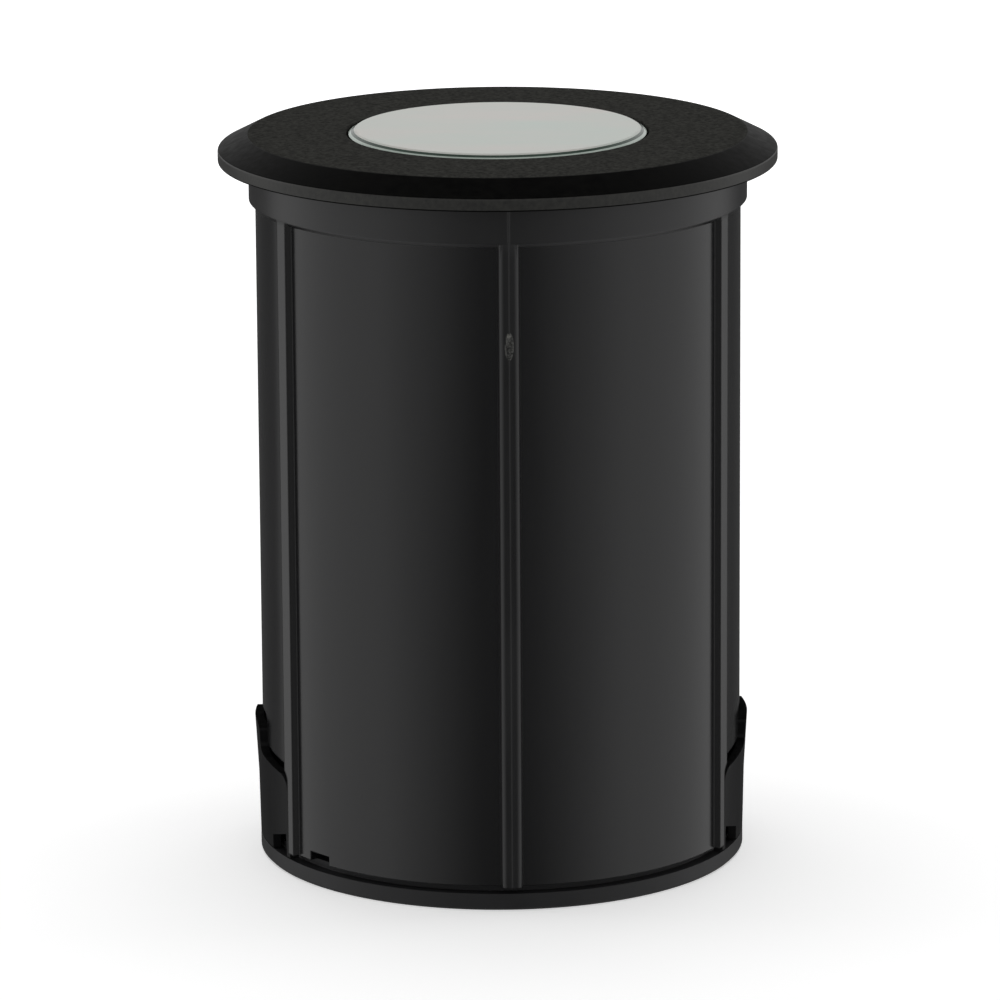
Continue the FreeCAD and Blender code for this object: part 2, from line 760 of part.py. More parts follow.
def pin_bush():
    body = new_body("pin_bush")
    outline = circle(new_sketch(body, "XY_Plane", lift="floor_bottom"), "bush_radius",
                     up="pin_circle")
    raised(body, outline, "floor_thick")
    pins = new_sketch(body, "XY_Plane", lift="floor_top")
    for side in ("pin_spread", "0 - pin_spread"):
        circle(pins, "pin_radius", across=side, up="pin_circle")
    sunk(body, pins, "floor_thick + overrun")


def contact_pins():
    body = new_body("contact_pins")
    low = "driver_bottom - pin_tail"
    pins = new_sketch(body, "XY_Plane", lift=low)
    for side in ("pin_spread", "0 - pin_spread"):
        circle(pins, "pin_radius", across=side, up="pin_circle")
    raised(body, pins, f"led_top + pin_tail - ({low})")


def driver_board():
    body = new_body("driver_board")
    rings(body, box_corners("0", "driver_radius", "driver_bottom", "driver_top"))
    hole = circle(new_sketch(body, "XY_Plane", aim="30", lift="driver_top"), "hole_radius",
                  across="boss_circle")
    around(body, sunk(body, hole, "board_thick + overrun"), "screw_count")
    pins = new_sketch(body, "XY_Plane", lift="driver_top")
    for side in ("pin_spread", "0 - pin_spread"):
        circle(pins, "pin_radius", across=side, up="pin_circle")
    sunk(body, pins, "board_thick + overrun")


def upright_part(label, across, along, corners):
    """A turned component under the driver board, at its own place on the board."""
    body = new_body(label)
    turned(body, polygon(new_sketch(body), corners))
    bind(body, "Placement.Base.x", across)
    bind(body, "Placement.Base.y", along)


def capacitor():
    edge = "capacitor_edge"
    low = "driver_bottom - capacitor_length"
    upright_part("capacitor", "0 - capacitor_across", "0 - capacitor_along", [
        ("0", low), (f"capacitor_radius - {edge}", low), ("capacitor_radius", f"{low} + {edge}"),
        ("capacitor_radius", "driver_bottom"), ("0", "driver_bottom"),
    ])


def inductor():
    low = "driver_bottom - coil_height"
    upright_part("inductor_core", "coil_across", "0 - coil_along", [
        ("0", low), ("coil_radius", low), ("coil_radius", f"{low} + coil_flange"),
        ("coil_core", f"{low} + coil_flange"), ("coil_core", "driver_bottom - coil_flange"),
        ("coil_radius", "driver_bottom - coil_flange"), ("coil_radius", "driver_bottom"),
        ("0", "driver_bottom"),
    ])
    upright_part("inductor_winding", "coil_across", "0 - coil_along", box_corners(
        "coil_core", "(2 * coil_radius + coil_core) / 3", f"{low} + coil_flange",
        "driver_bottom - coil_flange"))


def block(label, across, along, length, width, height):
    """A square component that hangs from the driver board."""
    body = new_body(label)
    outline = new_sketch(body, "XY_Plane", lift=f"driver_bottom - {height}")
    polygon(outline, box_corners(
        f"{across} - {length} / 2", f"{across} + {length} / 2",
        f"{along} - {width} / 2", f"{along} + {width} / 2"))
    raised(body, outline, height)
    return body


def terminal_block():
    body = block("terminal_block", "0", "terminal_along", "terminal_length", "terminal_width",
                 "terminal_height")
    wires = new_sketch(body, "XY_Plane", lift="driver_bottom - terminal_height / 2")
    for side in ("wire_spread", "0 - wire_spread"):
        circle(wires, "wire_hole", across=side, up="terminal_along")
    sunk(body, wires, "terminal_height / 2 + overrun")


def rear_cap():
    body = new_body("rear_cap")
    rings(body, [
        ("gland_thread", "rear_bottom"), ("body_radius", "rear_bottom"),
        ("body_radius", "body_bottom"), ("rear_seal_outer", "body_bottom"),
        ("rear_seal_outer", "body_bottom - rear_seal_thick"),
        ("rear_plug", "body_bottom - rear_seal_thick"), ("rear_plug", "rear_top"),
        ("gland_thread", "rear_top"),
    ])
    flute = new_sketch(body, "XY_Plane", aim="90", lift="body_bottom")
    circle(flute, "flute_radius", across="flange_screw_circle")
    around(body, sunk(body, flute, "rear_thick + overrun"), "screw_count")
    hole = new_sketch(body, aim="30", reach="rear_screw_circle")
    polygon(hole, box_corners("0", "hole_radius", "rear_bottom - overrun",
                              "body_bottom + overrun"))
    around(body, turned(body, hole, "Groove"), "screw_count")


def rear_seal():
    rings(new_body("rear_seal"), box_corners(
        "rear_plug", "rear_seal_outer", "body_bottom - rear_seal_thick",
        "body_bottom"))


def hexagon(sketch, radius):
    """A six-sided outline with corners at radius."""
    flat = f"({radius}) * sqrt(3) / 2"
    half = f"({radius}) / 2"
    polygon(sketch, [
        (radius, "0"), (half, flat), ("0 - " + half, flat), ("0 - " + radius, "0"),
        ("0 - " + half, "0 - " + flat), (half, "0 - " + flat),
    ])
    return sketch


def gland_body():
    body = new_body("gland_body")
    rings(body, [
        ("gland_bore", "gland_seal_top"), ("gland_seal_outer", "gland_seal_top"),
        ("gland_seal_outer", "neck_bottom"), ("gland_neck", "neck_bottom"),
        ("gland_neck", "rear_bottom"), ("gland_thread", "rear_bottom"),
        ("gland_thread", "rear_top"), ("gland_bore", "rear_top"),
    ])
    raised(body, hexagon(circle(new_sketch(body, "XY_Plane", lift="hex_bottom"), "gland_bore"),
                         "gland_hex"), "gland_hex_height")


def gland_seal():
    rings(new_body("gland_seal"), box_corners(
        "gland_bore", "gland_seal_outer", "neck_bottom", "gland_seal_top"))


def gland_nut():
    body = new_body("gland_nut")
    dome = "nut_bottom + nut_dome"
    flat = "nut_radius * sqrt(3) / 2"
    rings(body, [
        ("gland_bore", "nut_bottom"), ("nut_radius - nut_dome", "nut_bottom"), (flat, dome),
        (flat, "hex_bottom"), ("nut_bore", "hex_bottom"), ("nut_bore", "neck_bottom"),
        ("gland_bore", "neck_bottom"),
    ])
    outline = hexagon(circle(new_sketch(body, "XY_Plane", lift=dome), "nut_bore"),
                      "nut_radius")
    raised(body, outline, f"hex_bottom - ({dome})")


def build():
    fill_sheet()
    mounting_sleeve()
    base_cap()
    clip_arm("clip_arm_right", 0)
    clip_arm("clip_arm_left", FULL_TURN / 2)
    trim_flange()
    flange_gasket()
    screws("flange_screws", "flange_screw_circle", "90", "rim_bottom",
           "rim_thick + flange_screw_grip", "screw_count")
    glass_lens()
    lens_seal()
    diffuser()
    lamp_body()
    grip_ring("grip_ring_upper", "grip_high")
    grip_ring("grip_ring_lower", "grip_low")
    reflector()
    thermal_pad()
    led_board()
    led_chips()
    screws("led_board_screws", "board_screw_circle", "0", "led_top",
           "board_thick + pad_thick + board_screw_grip", 2, up="-1")
    pin_bush()
    contact_pins()
    driver_board()
    screws("driver_screws", "boss_circle", "30", "driver_bottom",
           "board_thick + board_screw_grip", "screw_count")
    capacitor()
    inductor()
    block("converter_chip", "0 - converter_across", "converter_along", "converter_length",
          "converter_width", "converter_height")
    terminal_block()
    rear_cap()
    rear_seal()
    screws("rear_cap_screws", "rear_screw_circle", "30", "rear_bottom",
           "rear_thick + rear_screw_grip", "screw_count")
    gland_body()
    gland_seal()
    gland_nut()
    doc.recompute()


def check_and_export():
    """Every object has to be up to date and every piece whole before any file is written."""
    for thing in doc.Objects:
        if any(state in ("Invalid", "Error") for state in thing.State):
            raise RuntimeError(f"{thing.Name} failed: {thing.State}")
    for body in bodies:
        if body.Shape.isNull() or not body.Shape.isValid():
            raise RuntimeError(body.Label + " has no valid shape")
    os.makedirs("parts", exist_ok=True)
    for body in bodies:
        body.Shape.exportStep(os.path.join("parts", body.Label + ".step"))
        print(f"{body.Label}: {len(body.Shape.Solids)} solid(s), {body.Shape.Volume:.1f} mm3")


build()
check_and_export()
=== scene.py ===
# %% [markdown]
# # A recessed deck light in its sleeve
# The light stands in the plastic sleeve that stays in the deck. The CAD model is loaded as a
# fixed frame, and this lesson dresses it: finishes first, then the pieces that need a finer shape
# than the CAD solid has, and last the studio. Blender works in metres. Sizes on the light are
# written in millimetres and multiplied by MM, and those of the studio are in metres.

# %% The frame
import math

import bmesh
import bpy
from mathutils import Matrix, Quaternion, Vector, noise


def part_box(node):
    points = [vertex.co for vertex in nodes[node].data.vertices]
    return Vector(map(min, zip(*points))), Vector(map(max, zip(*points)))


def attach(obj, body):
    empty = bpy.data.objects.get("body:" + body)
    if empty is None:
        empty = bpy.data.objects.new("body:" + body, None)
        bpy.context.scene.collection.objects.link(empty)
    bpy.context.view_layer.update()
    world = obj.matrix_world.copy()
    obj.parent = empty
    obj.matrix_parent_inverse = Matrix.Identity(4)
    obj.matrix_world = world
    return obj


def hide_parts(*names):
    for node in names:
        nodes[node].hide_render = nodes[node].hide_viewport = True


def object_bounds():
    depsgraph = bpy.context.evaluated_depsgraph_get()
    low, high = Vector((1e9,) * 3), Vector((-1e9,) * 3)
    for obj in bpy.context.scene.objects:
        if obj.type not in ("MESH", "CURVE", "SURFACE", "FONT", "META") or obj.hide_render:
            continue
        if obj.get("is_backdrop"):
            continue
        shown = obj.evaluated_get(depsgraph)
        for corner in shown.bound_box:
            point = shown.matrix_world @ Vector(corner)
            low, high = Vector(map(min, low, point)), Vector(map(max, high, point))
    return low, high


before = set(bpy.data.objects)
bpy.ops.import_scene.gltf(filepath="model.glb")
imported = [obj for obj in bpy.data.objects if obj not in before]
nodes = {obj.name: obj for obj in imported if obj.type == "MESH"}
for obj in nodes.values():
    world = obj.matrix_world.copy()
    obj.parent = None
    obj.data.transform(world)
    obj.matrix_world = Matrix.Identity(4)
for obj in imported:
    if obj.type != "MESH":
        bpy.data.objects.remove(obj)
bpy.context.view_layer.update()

MM = 0.001

# %% [markdown]
# ## Colours
# A hex colour picked from a picture is in sRGB, while a shader works in linear light. One function
# turns the first into the second, so that every colour below can be written as it looks.


# %% From hex to linear light
def linear(code):
    """A colour such as "#1B1B1C" as the four linear numbers that a shader takes."""
    parts = [int(code[place:place + 2], 16) / 255 for place in (1, 3, 5)]
    return [(part / 12.92 if part <= 0.04045 else ((part + 0.055) / 1.055) ** 2.4)
            for part in parts] + [1.0]


print("mid grey:", round(linear("#808080")[0], 3))

# %% [markdown]
# ## Node trees in code
# A material is a small graph. Adding a node always takes the same steps: make it, choose its
# settings, fill in its sockets and plug in what comes before. One function does all four.


# %% A node and a material
def add_node(tree, kind, settings=None, values=None, links=None):
    """One node with its settings, its sockets' values and the outputs plugged into it."""
    node = tree.nodes.new(kind)
    for name, setting in (settings or {}).items():
        setattr(node, name, setting)
    for socket, number in (values or {}).items():
        node.inputs[socket].default_value = number
    for socket, source in (links or {}).items():
        tree.links.new(source, node.inputs[socket])
    return node


def new_material(name):
    """A material whose node tree is still empty."""
    material = bpy.data.materials.new(name)
    material.use_nodes = True
    material.node_tree.nodes.clear()
    return material


# %% [markdown]
# ## What every finish has in common
# A real surface is never one flat colour. It has patches a little lighter and darker, a gloss
# that changes with them, and a grain that is felt more than seen. Noise gives all three, in the
# object's own coordinates, so a size in millimetres stays that size. A moulded or cast edge is
# also never sharp, and a bevel in the shading lets it catch the light.


# %% The common recipe
def mottled(name, dark, light, patch, rough, grain, depth, stretch=(1, 1, 1), edge=0.0, **sockets):
    """A finish from two colours in patches, with its grain. Patch, grain, depth and edge are in
    mm, and rough is the lowest and highest roughness."""
    material = new_material(name)
    tree = material.node_tree
    place = add_node(tree, "ShaderNodeTexCoord")
    spread = add_node(tree, "ShaderNodeMapping", values={"Scale": stretch},
                      links={"Vector": place.outputs["Object"]})
    patches = add_node(tree, "ShaderNodeTexNoise",
                       values={"Scale": 1 / (patch * MM), "Detail": 3.0, "Roughness": 0.55},
                       links={"Vector": spread.outputs["Vector"]})
    tint = add_node(tree, "ShaderNodeValToRGB", links={"Fac": patches.outputs["Fac"]})
    tint.color_ramp.elements[0].position, tint.color_ramp.elements[1].position = 0.3, 0.7
    tint.color_ramp.elements[0].color = linear(dark)
    tint.color_ramp.elements[1].color = linear(light)
    gloss = add_node(tree, "ShaderNodeMapRange",
                     values={"From Min": 0.3, "From Max": 0.7, "To Min": rough[0],
                             "To Max": rough[1]},
                     links={"Value": patches.outputs["Fac"]})
    grains = add_node(tree, "ShaderNodeTexNoise",
                      values={"Scale": 1 / (grain * MM), "Detail": 2.0},
                      links={"Vector": spread.outputs["Vector"]})
    bump = add_node(tree, "ShaderNodeBump", values={"Strength": 1.0, "Distance": depth * MM},
                    links={"Height": grains.outputs["Fac"]})
    if edge:
        soft = add_node(tree, "ShaderNodeBevel", {"samples": 6}, {"Radius": edge * MM})
        tree.links.new(soft.outputs["Normal"], bump.inputs["Normal"])
    shader = add_node(tree, "ShaderNodeBsdfPrincipled", values=sockets.get("values"),
                      links={"Base Color": tint.outputs["Color"],
                             "Roughness": gloss.outputs["Result"],
                             "Normal": bump.outputs["Normal"]})
    add_node(tree, "ShaderNodeOutputMaterial", links={"Surface": shader.outputs["BSDF"]})
    print(name, "patch", patch, "mm, grain", grain, "mm")
    return material


def shader_of(material):
    """The finish's shader, which the next functions plug into."""
    return next(node for node in material.node_tree.nodes if node.type == "BSDF_PRINCIPLED")


def rise_along(tree, axis, low, high, most=1.0):
    """Goes from nought to most while a coordinate of the object goes from low to high, in mm."""
    place = add_node(tree, "ShaderNodeTexCoord")
    parts = add_node(tree, "ShaderNodeSeparateXYZ", links={"Vector": place.outputs["Object"]})
    rise = add_node(tree, "ShaderNodeMapRange",
                    values={"From Min": low * MM, "From Max": high * MM, "To Max": most},
                    links={"Value": parts.outputs[axis]})
    return rise.outputs["Result"]


def rougher_above(material, height, more, fade=0.3):
    """Adds to a finish's roughness above a height of the object. Height and fade are in mm."""
    tree, shader = material.node_tree, shader_of(material)
    before = shader.inputs["Roughness"].links[0].from_socket
    total = add_node(tree, "ShaderNodeMath", {"operation": "ADD"}, {},
                     {0: before, 1: rise_along(tree, "Z", height, height + fade, more)})
    tree.links.new(total.outputs["Value"], shader.inputs["Roughness"])


def dress(material, *names):
    """Gives CAD nodes this material in place of the plain one they came with."""
    for name in names:
        for slot in nodes[name].material_slots:
            slot.material = material


# %% [markdown]
# ## Black plastics
# The sleeve is injection moulded in black polypropylene from a polished tool, so it is half
# glossy and mirrors the studio in long soft streaks along the flow of the plastic. Its collar is
# matter, because that part of the tool isn't polished. The base cap and its spring arms come from
# a plainer tool and look matt and a little darker.

# %% Moulded polypropylene
COLLAR_FOOT, COLLAR_ROUGHER = 83.5, 0.14
SLEEVE = mottled("moulded_polypropylene_satin", "#171718", "#1B1B1C", patch=9, rough=(0.19, 0.23),
                 grain=1.2, depth=0.003, stretch=(1, 1, 0.12), edge=0.3,
                 values={"IOR": 1.49})
CAP = mottled("moulded_polypropylene_matt", "#18181A", "#202021", patch=5, rough=(0.5, 0.6),
              grain=0.35, depth=0.006, edge=0.12, values={"IOR": 1.49, "Specular IOR Level": 0.4})
ARM = mottled("moulded_polypropylene_spring_arm", "#0D0D0E", "#151516", patch=2.5,
              rough=(0.36, 0.42), grain=0.5, depth=0.004, edge=0.1, stretch=(1, 1, 0.2),
              values={"IOR": 1.49, "Specular IOR Level": 0.1})
# Painted shade: a sheenless copy of the arm's finish, which keeps the arms' top faces almost
# black.
ARM_TOP_SHADED = mottled("polypropylene_arm_top_painted_shade", "#0D0D0D", "#191919", patch=1,
                   rough=(0.7, 0.85), grain=0.3, depth=0.01,
                   values={"IOR": 1.49, "Specular IOR Level": 0.0})
SLEEVE_SKIN = mottled("moulded_polypropylene_rib", "#19191A", "#1F1F20", patch=3,
                      rough=(0.26, 0.34), grain=1.2, depth=0.006, stretch=(1, 1, 0.12),
                      values={"IOR": 1.49})
rougher_above(SLEEVE, COLLAR_FOOT, COLLAR_ROUGHER)
dress(SLEEVE, "mounting_sleeve")
dress(CAP, "base_cap")
dress(ARM, "clip_arm_right", "clip_arm_left")

# %% [markdown]
# ## Powder coat
# The trim flange is cast aluminium under a black powder coat. The powder melts into tiny hills of
# about 0.4 mm, which scatter the light, so the flat top is a dark grey with fine speckles. On the
# chamfer the powder is smooth, and its deep black there is painted shade. The upright rim has a
# satin sheen, and its lighter grey is painted light. Real hills are finer than a pixel, so the
# speckles are drawn 0.5 mm wide.

# %% Powder coated aluminium
POWDER = mottled("powder_coat_fine_texture", "#151513", "#393936", patch=0.5, rough=(0.8, 0.92),
                 grain=0.4, depth=0.03, values={"IOR": 1.5, "Specular IOR Level": 0.03})
# Painted shade: a near-black copy of the coat for the chamfer and the faces that turn under.
POWDER_SHADED = mottled("powder_coat_smooth_painted_shade", "#070707", "#0C0C0B", patch=1.2, rough=(0.4, 0.5),
                        grain=0.6, depth=0.008,
                        values={"IOR": 1.5, "Specular IOR Level": 0.02})
# Painted light: a lighter grey copy of the coat for the upright rim.
POWDER_LIT_RIM = mottled("powder_coat_satin_rim_painted_light", "#242423", "#32322F", patch=0.6, rough=(0.4, 0.5),
                       grain=0.4, depth=0.012,
                       values={"IOR": 1.5, "Specular IOR Level": 0.32})
dress(POWDER, "trim_flange")

# %% [markdown]
# ## Rubber
# The gasket, the seals and the grip rings are moulded rubber: black ones hold the light in its
# sleeve and pale silicone seals the lens. Rubber is matt, with a faint bloom in soft patches.

# %% Rubber and silicone
RUBBER = mottled("epdm_rubber_matt", "#0D0D0D", "#171717", patch=3, rough=(0.7, 0.85),
                 grain=0.3, depth=0.01, values={"IOR": 1.52})
SILICONE = mottled("silicone_pale", "#C9C8C2", "#D8D7D1", patch=3, rough=(0.45, 0.55),
                   grain=0.4, depth=0.006, values={"IOR": 1.41})
HEAT_PAD = mottled("heat_pad_silicone", "#8492AC", "#95A3BA", patch=2, rough=(0.7, 0.8),
                   grain=0.3, depth=0.01, values={"IOR": 1.41})
dress(RUBBER, "flange_gasket", "grip_ring_upper", "grip_ring_lower", "gland_seal", "rear_seal")
dress(SILICONE, "lens_seal")
dress(HEAT_PAD, "thermal_pad")

# %% [markdown]
# ## Metals
# The lamp body and its rear cap are die cast aluminium, whose skin is satin with faint flow
# marks. The screws are plain stainless steel and the reflector is plastic with a mirror of
# aluminium.

# %% Aluminium, steel, brass and copper
CAST = mottled("die_cast_aluminium", "#A9ABAD", "#BDBFC1", patch=4, rough=(0.34, 0.46),
               grain=0.5, depth=0.008, edge=0.15, values={"Metallic": 1.0})
STEEL = mottled("stainless_steel_turned", "#B4B4B1", "#CFCFCC", patch=1.5, rough=(0.22, 0.34),
                grain=0.2, depth=0.002, stretch=(1, 1, 6), values={"Metallic": 1.0})
MIRROR = mottled("vacuum_metallised_reflector", "#D9D9DA", "#E4E4E5", patch=6, rough=(0.05, 0.1),
                 grain=2, depth=0.003, values={"Metallic": 1.0})
BRASS = mottled("tinned_brass", "#C9A24E", "#D9B96A", patch=1, rough=(0.25, 0.35),
                grain=0.2, depth=0.002, values={"Metallic": 1.0})
COPPER = mottled("enamelled_copper", "#A9552A", "#C26A38", patch=1, rough=(0.2, 0.3),
                 grain=0.3, depth=0.002, values={"Metallic": 1.0, "Coat Weight": 0.6})
dress(CAST, "lamp_body", "rear_cap")
dress(STEEL, "flange_screws", "rear_cap_screws", "led_board_screws", "driver_screws")
dress(MIRROR, "reflector")
dress(BRASS, "contact_pins")
dress(COPPER, "inductor_winding")

# %% [markdown]
# ## Electrical parts
# Inside are ordinary circuit parts: boards with a glossy mask over the copper, a sleeved
# capacitor, a ferrite core, an epoxy chip and a green terminal block.

# %% Boards and components
WHITE_MASK = mottled("white_solder_mask", "#DAD9D3", "#E6E5E0", patch=2, rough=(0.28, 0.36),
                     grain=0.4, depth=0.003, values={"IOR": 1.55})
GREEN_MASK = mottled("green_solder_mask", "#0E4A26", "#17602F", patch=0.9, rough=(0.25, 0.35),
                     grain=0.5, depth=0.004, values={"IOR": 1.55})
PHOSPHOR = mottled("yellow_phosphor", "#D9AE2E", "#E9C347", patch=0.6, rough=(0.4, 0.5),
                   grain=0.15, depth=0.004, values={"IOR": 1.5})
NYLON = mottled("natural_nylon", "#D5D2C5", "#E0DDD2", patch=2, rough=(0.45, 0.55),
                grain=0.4, depth=0.004, values={"IOR": 1.53})
BLACK_NYLON = mottled("black_nylon", "#141415", "#1D1D1E", patch=3, rough=(0.42, 0.52),
                      grain=0.3, depth=0.006, edge=0.12, values={"IOR": 1.53})
CAN = mottled("shrink_sleeve_black", "#16161A", "#202026", patch=3, rough=(0.25, 0.35),
              grain=1, depth=0.003, values={"IOR": 1.54})
FERRITE = mottled("sintered_ferrite", "#232324", "#303031", patch=0.5, rough=(0.6, 0.72),
                  grain=0.2, depth=0.01, values={"IOR": 1.6})
EPOXY = mottled("moulded_epoxy", "#1A1A1B", "#252526", patch=0.6, rough=(0.5, 0.6),
                grain=0.15, depth=0.006, values={"IOR": 1.55})
TERMINAL = mottled("green_terminal_nylon", "#2B7A46", "#348A52", patch=2, rough=(0.4, 0.5),
                   grain=0.3, depth=0.006, values={"IOR": 1.53})
CERAMIC = mottled("white_ceramic", "#E2E1DA", "#ECEBE6", patch=1, rough=(0.4, 0.5),
                  grain=0.2, depth=0.003, values={"IOR": 1.6})
SOLDER = mottled("tin_solder", "#A9ABAB", "#C6C8C8", patch=0.6, rough=(0.18, 0.3),
                 grain=0.3, depth=0.01, values={"Metallic": 1.0})
BRIGHT_ALUMINIUM = mottled("drawn_aluminium", "#BFC1C3", "#D2D3D4", patch=2, rough=(0.22, 0.3),
                           grain=0.3, depth=0.004, values={"Metallic": 1.0})
dress(WHITE_MASK, "led_board")
dress(GREEN_MASK, "driver_board")
dress(PHOSPHOR, "led_chips")
dress(NYLON, "pin_bush")
dress(BLACK_NYLON, "gland_body", "gland_nut")
dress(CAN, "capacitor")
dress(FERRITE, "inductor_core")
dress(EPOXY, "converter_chip")
dress(TERMINAL, "terminal_block")

# %% [markdown]
# ## The lens and the disc under it
# The lens is toughened glass. Its face is frosted by acid, so that the light leaves it evenly,
# and unlit it is a pale grey with a breath of green. Its bevel and side are
# polished. There the eye looks along the glass and not through it, so it sees the deep green of
# the iron in it.

# %% Frosted and polished glass, and opal plastic
FROST = mottled("frosted_glass", "#B6C2BA", "#C9C4BF", patch=12, rough=(0.3, 0.36),
                grain=0.3, depth=0.004, stretch=(0.35, 1, 1),
                values={"IOR": 1.52, "Specular IOR Level": 0.3})
POLISH = mottled("polished_glass_edge", "#36433B", "#445149", patch=6, rough=(0.16, 0.2),
                 grain=2, depth=0.002, values={"IOR": 1.52, "Specular IOR Level": 0.25})
# Painted highlight: a pale copy of the polished glass for a thin band at the bevel's outer edge.
LENS_EDGE_HIGHLIGHT = mottled("glass_arris_painted_highlight", "#A0ADA4", "#B6C0B8", patch=5, rough=(0.16, 0.2),
                      grain=2, depth=0.002, values={"IOR": 1.52})
OPAL = mottled("opal_acrylic", "#DEDDD8", "#E6E5E0", patch=5, rough=(0.4, 0.5),
               grain=0.4, depth=0.003, values={"IOR": 1.49})
dress(FROST, "glass_lens")
dress(OPAL, "diffuser")

# %% [markdown]
# ## Turned pieces
# Everything round on this light can be drawn as half a section and turned about the middle, as on
# a lathe. A real edge is never sharp, so each corner of the section may carry a rounding, which
# is replaced by a short arc before it is turned. A weighted normal modifier then keeps the wide
# faces flat to the eye beside those narrow arcs.


# %% A section with soft corners, and the lathe
WELD, CREASE = 0.0005, math.radians(40)


def softened(corners, steps=5):
    """Corners are (radius, height, rounding) in mm, anticlockwise. A rounding becomes an arc."""
    points = []
    for index, (across, up, rounding) in enumerate(corners):
        here = Vector((across, up))
        if not rounding:
            points.append(here)
            continue
        before = Vector(corners[index - 1][:2]) - here
        after = Vector(corners[(index + 1) % len(corners)][:2]) - here
        half = before.angle(after) / 2
        reach = rounding / math.tan(half)
        middle = here + (before.normalized() + after.normalized()).normalized() * (
            rounding / math.sin(half))
        first = here + before.normalized() * reach - middle
        last = here + after.normalized() * reach - middle
        turn = first.angle_signed(last)
        for step in range(steps + 1):
            share = turn * step / steps
            points.append(middle + Vector((
                first.x * math.cos(share) + first.y * math.sin(share),
                first.y * math.cos(share) - first.x * math.sin(share))))
    return points


def lathe(name, corners, sides=192):
    """A closed section turned about the Z axis."""
    shape = bmesh.new()
    points = [shape.verts.new((spot.x * MM, 0, spot.y * MM)) for spot in softened(corners)]
    edges = [shape.edges.new((points[index - 1], points[index])) for index in range(len(points))]
    bmesh.ops.spin(shape, geom=points + edges, axis=(0, 0, 1), cent=(0, 0, 0),
                   angle=2 * math.pi, steps=sides, use_merge=True)
    bmesh.ops.remove_doubles(shape, verts=shape.verts, dist=WELD * MM)
    bmesh.ops.recalc_face_normals(shape, faces=shape.faces)
    return piece_from(name, shape)


def piece_from(name, shape):
    """Turns a finished bmesh into an object of the scene, smooth but with its creases kept."""
    for face in shape.faces:
        face.smooth = True
    mesh = bpy.data.meshes.new(name)
    shape.to_mesh(mesh)
    shape.free()
    mesh.set_sharp_from_angle(angle=CREASE)
    piece = bpy.data.objects.new(name, mesh)
    bpy.context.scene.collection.objects.link(piece)
    even = piece.modifiers.new("even_shading", "WEIGHTED_NORMAL")
    even.keep_sharp = True
    print(name, len(mesh.vertices), "points")
    return piece


def stand_for(piece, body, slot, *names):
    """The piece rides on a body and takes the place of CAD nodes there."""
    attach(piece, body)
    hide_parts(*names)


def paint(piece, materials, choose):
    """Gives each face one of the materials. Choose takes the face's normal and its middle."""
    for material in materials:
        piece.data.materials.append(material)
    for face in piece.data.polygons:
        face.material_index = choose(face.normal, face.center)


# %% [markdown]
# ## The trim flange
# Its section follows the CAD ring: a lip over the lens, a flat top, a wide shallow chamfer and an
# upright rim. What is added is the soft edge that a thick coat of powder leaves on every corner.
# The rim's lower edge turns under, and its faces there take the near-black copy of the coat,
# painted shade that draws the dark line over the collar.

# %% Flange
flange_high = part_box("trim_flange")[1] / MM
FLANGE_R, FLANGE_TOP = flange_high.x, flange_high.z
CHAMFER_WIDE, CHAMFER_DEEP, RIM_FOOT = 3.74, 1.9, FLANGE_TOP - 3.5
OPENING, RECESS, LIP, SEAT, SEAT_Z = 18.9, 21.45, 2.0, 31.45, FLANGE_TOP - 3.3
TEXTURED_R, FACES_UP, SLOPES_UP, TURNS_UNDER = 25, 0.985, 0.6, -0.3
flange = lathe("flange_ring", [
    (OPENING, FLANGE_TOP - LIP, 0.2), (RECESS, FLANGE_TOP - LIP, 0), (RECESS, SEAT_Z, 0.2),
    (SEAT, SEAT_Z, 0), (SEAT, RIM_FOOT, 0.1), (FLANGE_R, RIM_FOOT, 0.3),
    (FLANGE_R, FLANGE_TOP - CHAMFER_DEEP, 0.35), (FLANGE_R - CHAMFER_WIDE, FLANGE_TOP, 0.8),
    (OPENING, FLANGE_TOP, 0.25)])
# The chamfer and the faces that turn under are painted shade, and the other upright faces outside
# the lip are painted light.
paint(flange, [POWDER, POWDER_SHADED, POWDER_LIT_RIM],
      lambda normal, centre: 0 if centre.xy.length < TEXTURED_R * MM or normal.z > FACES_UP
      else 1 if normal.z > SLOPES_UP or normal.z < TURNS_UNDER else 2)
stand_for(flange, "fitting", "flange_paint", "trim_flange")

# %% [markdown]
# ## The lens
# A stepped disc: a thin face stands 0.4 mm proud of the flange with a polished bevel round it, and
# a wider shoulder below is held under the flange's lip. The frost ends in a line at the bevel. A
# pale band at the bevel's outer edge is a painted highlight.

# %% Lens
LENS_R, LENS_SHOULDER = 18.65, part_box("glass_lens")[1].x / MM
LENS_TOP, LENS_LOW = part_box("glass_lens")[1].z / MM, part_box("glass_lens")[0].z / MM
BRIGHT_WIDE, POLISH_WIDE, BEVEL_WIDE, BEVEL_DEEP = 0.34, 0.7, 0.95, 0.6
UPRIGHT = 0.4
glass = lathe("lens_disc", [
    (0, LENS_LOW, 0), (LENS_SHOULDER, LENS_LOW, 0.15), (LENS_SHOULDER, FLANGE_TOP - LIP, 0.15),
    (LENS_R, FLANGE_TOP - LIP, 0), (LENS_R, LENS_TOP - BEVEL_DEEP, 0.08),
    *((LENS_R - wide, LENS_TOP - BEVEL_DEEP * (1 - wide / BEVEL_WIDE), 0)
      for wide in (BRIGHT_WIDE, POLISH_WIDE)),
    (LENS_R - BEVEL_WIDE, LENS_TOP, 0.2), (0, LENS_TOP, 0)])
